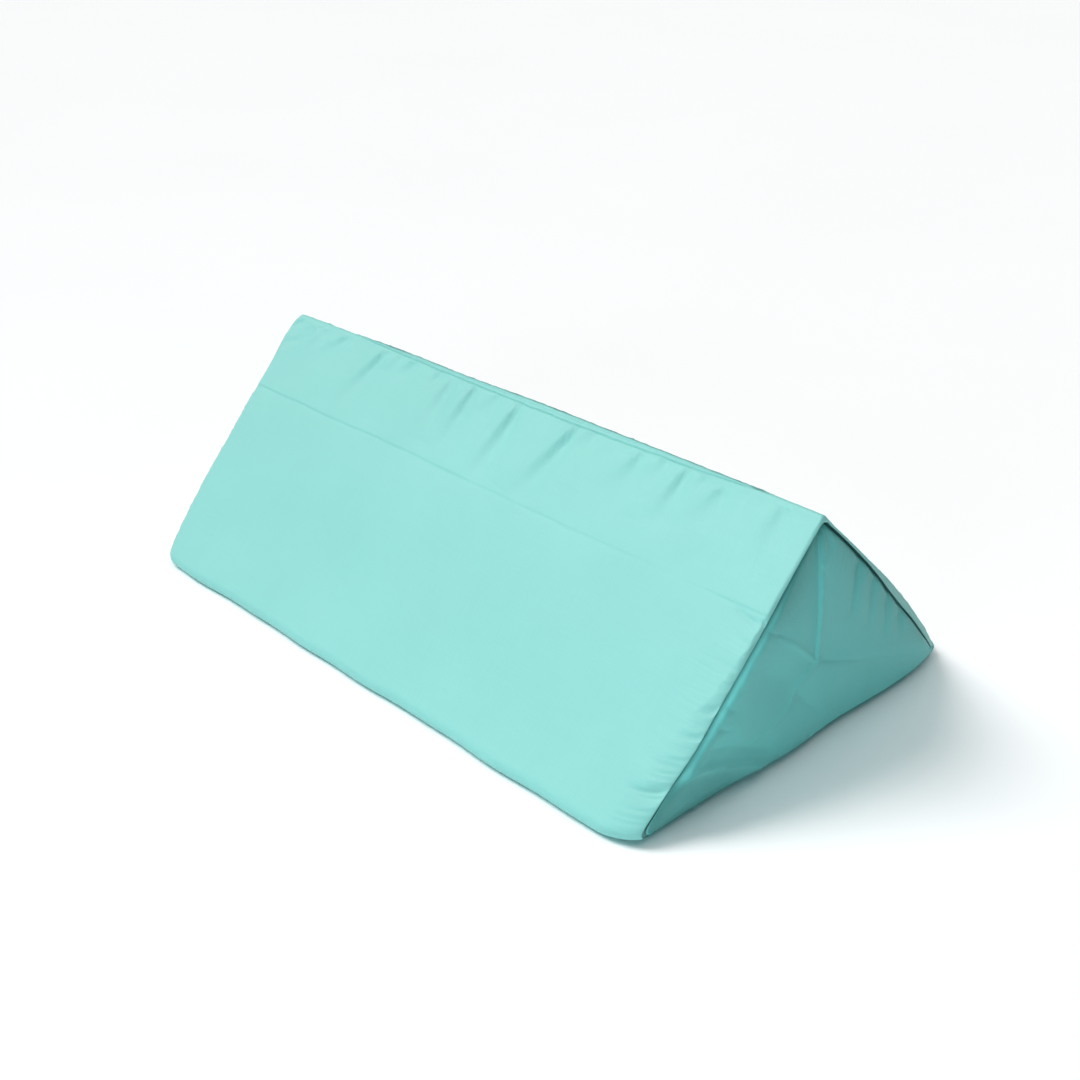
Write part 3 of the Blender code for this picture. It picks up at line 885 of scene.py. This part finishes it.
def mesh_from_grid(name, rings, first_point, last_point, map_row):
    """A closed mesh from rings of points, with a fan to a point at each open end that is given.

    The cloth's own map holds the distance round the ring of the map's row and the distance from it
    across the rings, in metres.
    """
    points = np.stack(rings)
    rows, columns = points.shape[:2]
    quads = tube_faces(rows, columns)
    steps_round = np.linalg.norm(np.roll(points, -1, axis=1) - points, axis=2)
    around = np.concatenate([[0.0], np.cumsum(steps_round[map_row])])
    steps_over = np.linalg.norm(np.diff(points, axis=0), axis=2)
    over = np.concatenate([np.zeros((1, columns)), np.cumsum(steps_over, axis=0)])
    over = over - over[map_row][None, :]
    over = np.concatenate([over, over[:, :1]], axis=1)
    left, right = around[:-1], around[1:]
    u = np.stack([left, left, right, right], axis=-1)
    u = np.broadcast_to(u[None], (rows - 1, columns, 4))
    v = np.stack([over[:-1, :-1], over[1:, :-1], over[1:, 1:], over[:-1, 1:]], axis=-1)
    uv = np.stack([u, v], axis=-1).reshape(-1, 2)

    vertices = points.reshape(-1, 3)
    faces = quads.reshape(-1, 4).tolist()
    ends = [(first_point, 0, True), (last_point, (rows - 1) * columns, False)]
    here = np.arange(columns)
    for point, first, reverse in ends:
        if point is None:
            continue
        fan = np.stack([first + here, np.full(columns, len(vertices)), first + (here + 1) % columns], 1)
        if reverse:
            fan = fan[:, ::-1]
        vertices = np.concatenate([vertices, [point]])
        faces = faces + fan.tolist()
        row = 0 if reverse else -1
        corner = np.stack([left, (left + right) / 2.0, right], axis=1)
        corner_over = np.stack([over[row, :-1], over[row, :-1], over[row, 1:]], axis=1)
        if reverse:
            corner, corner_over = corner[:, ::-1], corner_over[:, ::-1]
        uv = np.concatenate([uv, np.stack([corner, corner_over], axis=-1).reshape(-1, 2)])

    mesh = bpy.data.meshes.new(name)
    mesh.from_pydata((vertices * METRES_PER_MM).tolist(), [], faces)
    layer = mesh.uv_layers.new(name=CLOTH_MAP)
    layer.data.foreach_set("uv", (uv * METRES_PER_MM).astype(np.float32).ravel())
    mesh.shade_smooth()
    piece = bpy.data.objects.new(name, mesh)
    bpy.context.scene.collection.objects.link(piece)
    return piece


def add_mask(piece, name, values):
    """A number from 0 to 1 at each vertex, which the cloth's colour or its bump reads."""
    attribute = piece.data.attributes.new(name, "FLOAT", "POINT")
    full = np.zeros(len(piece.data.vertices), np.float32)
    full[: values.size] = values.ravel()
    attribute.data.foreach_set("value", full)


def flip_x(rings):
    """The same rings at the other end of the ridge."""
    return [ring * np.array([-1.0, 1.0, 1.0]) for ring in rings]


def make_wrap():
    """The wrap: plain stations, a roll and seam groove at each end, closed under the end panels."""
    shape, seam = outer_section(FINE_GRID), seam_section(FINE_GRID)
    across, height = shape["points"][:, 0], shape["points"][:, 1]
    steps = np.linalg.norm(np.diff(shape["points"], axis=0), axis=1)
    arc = np.concatenate([[0.0], np.cumsum(steps)])
    count = round(2.0 * LAST_STATION_X / STATION_STEP) + 1
    stations = np.linspace(-LAST_STATION_X, LAST_STATION_X, count)[:, None]
    right_x, turns = end_rows(seam, RIGHT_END, arc)
    left_x = -end_rows(seam, LEFT_END, arc)[0]
    x = np.concatenate([left_x[::-1], np.repeat(stations, len(arc), axis=1), right_x])

    relief = wrap_relief(shape, x)
    placed = shape["points"][None] + shape["normals"][None] * relief[..., None]
    placed[..., 1] -= RIDGE_SAG_AT_ENDS * (x / SAG_REACH) ** 4 * ramp(height, 120.0, 180.0)
    wave = EDGE_WAVE * waves(x, 29, 90.0, 260.0, 4) * (1.0 - ramp(height, 0.0, 45.0))
    placed[..., 0] += wave * np.sign(across)
    placed[..., 1] = np.maximum(placed[..., 1], 0.0)
    ends = len(turns)
    right = wrap_end(shape, seam, placed[-ends:], right_x, turns, RIGHT_END, arc)
    left = flip_x(wrap_end(shape, seam, placed[ends - 1::-1], -left_x, turns, LEFT_END, arc))
    plain = [np.column_stack([x[i], placed[i]]) for i in range(ends, ends + count)]
    rings = left[::-1] + plain + right
    first_point, last_point = left[-1].mean(axis=0), right[-1].mean(axis=0)
    wrap = mesh_from_grid("cover_wrap", rings, first_point, last_point, len(rings) // 2)
    mask_wrap(wrap, shape, seam, rings, x)
    return wrap


def mask_wrap(wrap, shape, seam, rings, x):
    """The wrap's masks: gathered beside its end seams, and painted shade in them and along the ridge.
    """
    reach = np.abs(np.stack(rings)[..., 0])
    add_mask(wrap, "gathered", ramp(reach, 262.0, 296.0) * gather_share(shape))
    # A painted-shade line along the ridge: it is uneven, and fades out where the lap's edge runs over
    # the ridge
    beside_top = bell(past_top(shape) + TOP_SEAM_BEHIND, TOP_SEAM_WIDTH)
    along_top = ramp(x, -215.0, -185.0) * ramp(x, 262.0, 242.0)
    uneven = 0.75 + 0.25 * waves(x, 41, 18.0, 60.0, 5)
    painted_shade = np.repeat(seam_shade(seam)[None, :], len(rings), axis=0)
    hidden = len(SEAM_WALL) + len(RECESS_LEVELS)
    painted_shade[hidden:-hidden] = TOP_SEAM_SHADE * beside_top * along_top * uneven
    add_mask(wrap, "painted_shade", painted_shade)


def rim_rise(from_rim, front):
    """How far a panel's rolled rim has risen at a distance from the rim.

    It climbs at an even slope and turns sharply onto the level: t / (1 + t^6)^(1/6). Beside the
    front seam it climbs higher, by a bell of the distance, and ends in a low lip.
    """
    part = from_rim / PANEL_RIM_WIDTH
    climb = part / (1.0 + part**6) ** (1.0 / 6.0)
    beside = PANEL_FRONT_RISE * front * math.exp(-((from_rim / PANEL_FRONT_REACH) ** 2))
    lip = PANEL_FRONT_LIP * front * math.exp(-from_rim / PANEL_LIP_REACH) * (1.0 - math.exp(-(part**2)))
    return (PANEL_RIM_RISE + beside) * climb + lip


def panel_rings(seam, end):
    """An end panel's rings, from its rolled rim in toward its junction, and their distances in.

    A ring is the seam's line drawn in to the junction by its level, set out by the panel's relief.
    """
    points, height = seam["points"], seam["points"][:, 1]
    inset = PANEL_RIM_INSET + PANEL_BACK_GAP * (seam["side"] > 0.0) * ramp(height, 20.0, 50.0)
    rim = 1.0 - (inset[None, :] + RIM_STEPS[:, None]) / PANEL_REACH
    inward = np.linspace(1.0, 0.0, PANEL_LEVELS)[1:-1, None]
    levels = np.concatenate([rim, rim[-1:] * inward])
    further_in = (1.0 - inward[:, 0]) * rim[-1, 0] * PANEL_REACH
    from_rims = np.concatenate([RIM_STEPS, RIM_STEPS[-1] + further_in])
    steps = np.linalg.norm(np.roll(points, -1, axis=0) - points, axis=1)
    arc = np.concatenate([[0.0], np.cumsum(steps)[:-1]])
    gather = PANEL_GATHER * waves(arc, end["seed"] + 7, 7.0, 26.0, 7)
    front = ramp(height, 4.0, 60.0) * ramp(height, 158.0, 128.0) * (seam["side"] < 0.0)
    rings = []
    for level, from_rim in zip(levels, from_rims):
        inner = JUNCTION + (points - JUNCTION) * level[:, None]
        rise = rim_rise(from_rim, front) * groove_share(inner)
        grown = 1.0 - math.exp(-from_rim / PANEL_GATHER_START)
        tuck = gather * math.exp(-from_rim / PANEL_GATHER_REACH) * grown
        out = seam_x(inner, end) - GROOVE_DEPTH * groove_share(inner) + PANEL_GAP + rise + tuck
        out = out + end_bulge(inner, level, end) - panel_sink(inner)
        rings.append(np.column_stack([out, inner]))
    return rings, from_rims


def panel_middle(end):
    """The point at an end panel's junction, where its rings close."""
    middle = JUNCTION[None, :]
    out = seam_x(middle, end) + PANEL_GAP + (PANEL_RIM_RISE - GROOVE_DEPTH) * groove_share(middle)
    out = out + end_bulge(middle, 0.0, end) - panel_sink(middle)
    return np.array([out[0], *JUNCTION])


def under_fold(across, height):
    """1 below the low fold near the front corner of an end panel, 0 above it, smooth between."""
    above = np.interp(across, SHADE_LINE[:, 0], SHADE_LINE[:, 1]) - height
    return ramp(above, -2.7, 6.3) * ramp(across, -48.0, -108.0)


def mask_panel(panel, seam, rings, from_rims, end):
    """An end panel's painted-shade mask: its rim in the seam, and the places where its cloth lies in
    shade.
    """
    across, height = np.stack(rings)[..., 1], np.stack(rings)[..., 2]
    seam_height = seam["points"][:, 1]
    back = BACK_RIM_SHADE * ramp(seam_height, 14.0, 44.0) * (seam["side"] > 0.0)
    front = FRONT_RIM_SHADE * ramp(seam_height, 100.0, 160.0) * (seam["side"] <= 0.0)
    low_front = LOW_RIM_SHADE * ramp(seam_height, 95.0, 45.0) * (seam["side"] < 0.0)
    painted_shade = np.exp(-from_rims / RIM_SHADE_REACH)[:, None] * (back + front)
    painted_shade = painted_shade + bell(from_rims, LOW_RIM_REACH)[:, None] * low_front
    painted_shade = painted_shade + end["corner_shade"] * under_fold(across, height)
    painted_shade = painted_shade + UPPER_SHADE * ramp(height, 60.0, 130.0)
    # The first ring lies in the seam, and the second comes out of it
    painted_shade[:2] = np.array([[1.0], [0.4]]) * seam_shade(seam)
    add_mask(panel, "painted_shade", painted_shade)


def make_panel(name, end, is_left):
    """An end panel: rings from its rolled rim in to the point where its folds meet, then thickened."""
    seam = seam_section(PANEL_GRID)
    rings, from_rims = panel_rings(seam, end)
    last_point = panel_middle(end)
    if is_left:
        *rings, last_point = flip_x([*rings, last_point])
    panel = mesh_from_grid(name, rings, None, last_point, 0)
    mask_panel(panel, seam, rings, from_rims, end)
    if is_left:
        panel.data.flip_normals()
    thickness = panel.modifiers.new("thickness", "SOLIDIFY")
    thickness.thickness = PANEL_THICKNESS * METRES_PER_MM
    thickness.offset = -1.0
    return panel


def linear(hex_colour):
    """An sRGB hex colour as linear red, green, blue and 1."""
    parts = [int(hex_colour[i:i + 2], 16) / 255.0 for i in (1, 3, 5)]
    return tuple(((p + 0.055) / 1.055) ** 2.4 if p > 0.04045 else p / 12.92 for p in parts) + (1.0,)


def add_node(tree, kind, values=None, links=None, **settings):
    """Add a node with its settings, its sockets' values and what feeds them, and return it."""
    made = tree.nodes.new(kind)
    for name, value in settings.items():
        setattr(made, name, value)
    for name, value in (values or {}).items():
        made.inputs[name].default_value = value
    for name, (source, output) in (links or {}).items():
        tree.links.new(source.outputs[output], made.inputs[name])
    return made


def cloth_patterns(tree):
    """The cloth's patterns: its weave, the streaks of its thicker threads and its fine gathers."""
    cloth_map = add_node(tree, "ShaderNodeUVMap", uv_map=CLOTH_MAP)

    # Warp and weft pass over and under each other: the product of two sines
    turns = math.pi / (DRAWN_THREAD * METRES_PER_MM)
    scaled = add_node(tree, "ShaderNodeVectorMath", {1: (turns, turns, 0.0)}, {0: (cloth_map, "UV")},
                      operation="MULTIPLY")
    split = add_node(tree, "ShaderNodeSeparateXYZ", None, {"Vector": (scaled, "Vector")})
    warp = add_node(tree, "ShaderNodeMath", None, {0: (split, "X")}, operation="SINE")
    weft = add_node(tree, "ShaderNodeMath", None, {0: (split, "Y")}, operation="SINE")
    weave = add_node(tree, "ShaderNodeMath", None, {0: (warp, "Value"), 1: (weft, "Value")},
                     operation="MULTIPLY")

    # Streaks run along the warp and along the weft, and gathers run square to the end seams
    stretched = []
    for across, along in (STREAK_SCALE, STREAK_SCALE[::-1], GATHER_SCALE):
        place = add_node(tree, "ShaderNodeMapping", {"Scale": (across, along, 1.0)},
                         {"Vector": (cloth_map, "UV")})
        stretched.append(add_node(tree, "ShaderNodeTexNoise", {"Scale": 1.0, "Detail": 2.0},
                                  {"Vector": (place, "Vector")}))
    warp_streaks, weft_streaks, gathers = stretched
    streaks = add_node(tree, "ShaderNodeMath", None,
                       {0: (warp_streaks, "Fac"), 1: (weft_streaks, "Fac")}, operation="ADD")
    return weave, streaks, gathers


def cloth_colour(tree, streaks, light_hex, deep_hex):
    """The cloth's colour: two close tones mixed by streaks and patches, drawn much deeper by painted
    shade in the seams and shaded places.

    Among the sockets of a colour mix, input 6 is the first colour and output 2 is the mixed one.
    """
    # Dye takes a little unevenly over a hand's width
    place = add_node(tree, "ShaderNodeTexCoord")
    patches = add_node(tree, "ShaderNodeTexNoise",
                       {"Scale": PATCH_SCALE, "Detail": 3.0, "Roughness": 0.55},
                       {"Vector": (place, "Object")})
    tone = add_node(tree, "ShaderNodeMath", {1: 0.22}, {0: (streaks, "Value")}, operation="MULTIPLY")
    mixed = add_node(tree, "ShaderNodeMath", None, {0: (patches, "Fac"), 1: (tone, "Value")},
                     operation="ADD")
    share = add_node(tree, "ShaderNodeMapRange",
                     {"From Min": 0.40, "From Max": 1.05, "To Min": 0.0, "To Max": 1.0},
                     {"Value": (mixed, "Value")})
    colour = add_node(tree, "ShaderNodeMix", {"A": linear(light_hex), "B": linear(deep_hex)},
                      {"Factor": (share, "Result")}, data_type="RGBA")

    # Painted shade: hardly any light comes out of a seam, so the mask draws the cloth deeper there and
    # wherever else the cloth lies in shade
    painted_shade = add_node(tree, "ShaderNodeAttribute", attribute_name="painted_shade")
    shaded = add_node(tree, "ShaderNodeMix", {"B": linear(PAINTED_SHADE_HEX)}, {"Factor": (painted_shade, "Fac")},
                      data_type="RGBA")
    tree.links.new(colour.outputs[2], shaded.inputs[6])
    return shaded


def cloth_bump(tree, weave, streaks, gathers):
    """The cloth's bump: gathers where the mask says so, then streaks, then the weave on top."""
    mask = add_node(tree, "ShaderNodeAttribute", attribute_name="gathered")
    masked = add_node(tree, "ShaderNodeMath", None, {0: (gathers, "Fac"), 1: (mask, "Fac")},
                      operation="MULTIPLY")
    gather_bump = add_node(tree, "ShaderNodeBump",
                           {"Strength": 0.55, "Distance": GATHER_BUMP * METRES_PER_MM},
                           {"Height": (masked, "Value")})
    streak_bump = add_node(tree, "ShaderNodeBump",
                           {"Strength": 0.35, "Distance": STREAK_BUMP * METRES_PER_MM},
                           {"Height": (streaks, "Value"), "Normal": (gather_bump, "Normal")})
    return add_node(tree, "ShaderNodeBump",
                    {"Strength": 0.45, "Distance": WEAVE_BUMP * METRES_PER_MM},
                    {"Height": (weave, "Value"), "Normal": (streak_bump, "Normal")})


def woven_cloth(name, light_hex, deep_hex):
    """Plain-woven cotton and polyester, dyed turquoise: fine, smooth and matt with a faint sheen.

    The threads lie about 0.35 mm apart, too fine to show, so they are drawn 0.8 mm apart. The eye
    sees an even colour with slight streaks where threads are thicker, and a soft glow at the edges.
    """
    material = bpy.data.materials.new(name)
    material.use_nodes = True
    tree = material.node_tree
    shader = tree.nodes["Principled BSDF"]
    weave, streaks, gathers = cloth_patterns(tree)
    colour = cloth_colour(tree, streaks, light_hex, deep_hex)
    tree.links.new(colour.outputs[2], shader.inputs["Base Color"])
    bump = cloth_bump(tree, weave, streaks, gathers)
    tree.links.new(bump.outputs["Normal"], shader.inputs["Normal"])

    # Thicker threads are a little rougher
    worn = add_node(tree, "ShaderNodeMapRange",
                    {"From Min": 0.6, "From Max": 1.4, "To Min": 0.56, "To Max": 0.68},
                    {"Value": (streaks, "Value")})
    tree.links.new(worn.outputs["Result"], shader.inputs["Roughness"])
    shader.inputs["Specular IOR Level"].default_value = 0.6
    shader.inputs["Sheen Weight"].default_value = 0.12
    shader.inputs["Sheen Roughness"].default_value = 0.45
    shader.inputs["Sheen Tint"].default_value = linear(SHEEN_HEX)
    return material


def pale_floor():
    """A smooth matt painted floor, pale and even, with the faintest mottling."""
    material = bpy.data.materials.new("matt_painted_floor")
    material.use_nodes = True
    tree = material.node_tree
    shader = tree.nodes["Principled BSDF"]
    place = add_node(tree, "ShaderNodeTexCoord")
    mottle = add_node(tree, "ShaderNodeTexNoise", {"Scale": 2.0, "Detail": 2.0},
                      {"Vector": (place, "Object")})
    colour = add_node(tree, "ShaderNodeMix", {"A": linear(FLOOR_HEX[0]), "B": linear(FLOOR_HEX[1])},
                      {"Factor": (mottle, "Fac")}, data_type="RGBA")
    tree.links.new(colour.outputs[2], shader.inputs["Base Color"])
    shader.inputs["Roughness"].default_value = 0.9
    shader.inputs["Specular IOR Level"].default_value = 0.1
    return material


def make_floor():
    """A wide flat floor just under the pillow, in four by four faces."""
    bpy.ops.mesh.primitive_grid_add(x_subdivisions=4, y_subdivisions=4, size=FLOOR_SIZE,
                                    location=(0.0, 0.0, -FLOOR_DROP))
    floor = bpy.context.object
    floor.name = "floor"
    floor.data.materials.append(pale_floor())


def add_light(name, kind, place, target, power, colour):
    """A light at a place, turned to face a target."""
    data = bpy.data.lights.new(name, kind)
    data.energy = power
    data.color = colour
    light = bpy.data.objects.new(name, data)
    light.location = place
    light.rotation_euler = (Vector(target) - Vector(place)).to_track_quat("-Z", "Y").to_euler()
    bpy.context.scene.collection.objects.link(light)
    return data


def light_the_scene():
    """Soft studio light: a key at the front left, a wide one overhead, two low fills, a pale sky."""
    key = add_light("key", "SUN", KEY_TOWARD, (0.0, 0.0, 0.0), KEY_STRENGTH, KEY_COLOUR)
    key.angle = math.radians(KEY_ANGLE)
    overhead = add_light("overhead", "SUN", OVERHEAD_TOWARD, (0.0, 0.0, 0.0), OVERHEAD_STRENGTH,
                         OVERHEAD_COLOUR)
    overhead.angle = math.radians(OVERHEAD_ANGLE)
    fill = add_light("fill", "AREA", FILL_PLACE, FILL_TARGET, FILL_POWER, FILL_COLOUR)
    fill.shape = "SQUARE"
    fill.size = FILL_SIZE
    end_fill = add_light("end_fill", "AREA", END_FILL_PLACE, END_FILL_TARGET, END_FILL_POWER,
                         FILL_COLOUR)
    end_fill.size = END_FILL_SIZE
    world = bpy.data.worlds.new("pale_sky")
    world.use_nodes = True
    background = world.node_tree.nodes["Background"]
    background.inputs["Color"].default_value = linear(SKY_HEX)
    background.inputs["Strength"].default_value = SKY_STRENGTH
    bpy.context.scene.world = world
    bpy.context.scene.view_settings.view_transform = "Standard"


def make_camera():
    """The photo's camera: its place, the way it faces and its lens."""
    yaw, pitch, roll = (math.radians(value) for value in CAMERA_TURN)
    level, drop = math.cos(pitch), -math.sin(pitch)
    forward = Vector((math.sin(yaw) * level, math.cos(yaw) * level, drop))
    level_right = Vector((math.cos(yaw), -math.sin(yaw), 0.0))
    level_up = level_right.cross(forward)
    right = level_right * math.cos(roll) + level_up * math.sin(roll)
    up = level_up * math.cos(roll) - level_right * math.sin(roll)
    data = bpy.data.cameras.new("camera")
    data.lens = CAMERA_LENS
    data.sensor_width = CAMERA_SENSOR
    camera = bpy.data.objects.new("camera", data)
    turn = Matrix((right, up, -forward)).transposed()
    camera.matrix_world = Matrix.Translation(CAMERA_PLACE) @ turn.to_4x4()
    bpy.context.scene.collection.objects.link(camera)
    bpy.context.scene.camera = camera


def main():
    """Dress the pillow and light it."""
    make_camera()
    light_the_scene()
    make_floor()

    wrap = make_wrap()
    wrap.data.materials.append(woven_cloth("woven_turquoise_cloth", *WRAP_HEX))
    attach(wrap, "root")
    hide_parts("filled_wedge")

    # The end panels' cloth is the wrap's cloth drawn deeper and more saturated: painted shade on the
    # end faces
    shaded_panel_cloth = woven_cloth("woven_turquoise_end_cloth_painted_shade", *PANEL_SHADED_HEX)
    for name, node, end, is_left in (
        ("cover_end_right", "end_panel_right", RIGHT_END, False),
        ("cover_end_left", "end_panel_left", LEFT_END, True),
    ):
        panel = make_panel(name, end, is_left)
        panel.data.materials.append(shaded_panel_cloth)
        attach(panel, "root")
        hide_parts(node)


main()
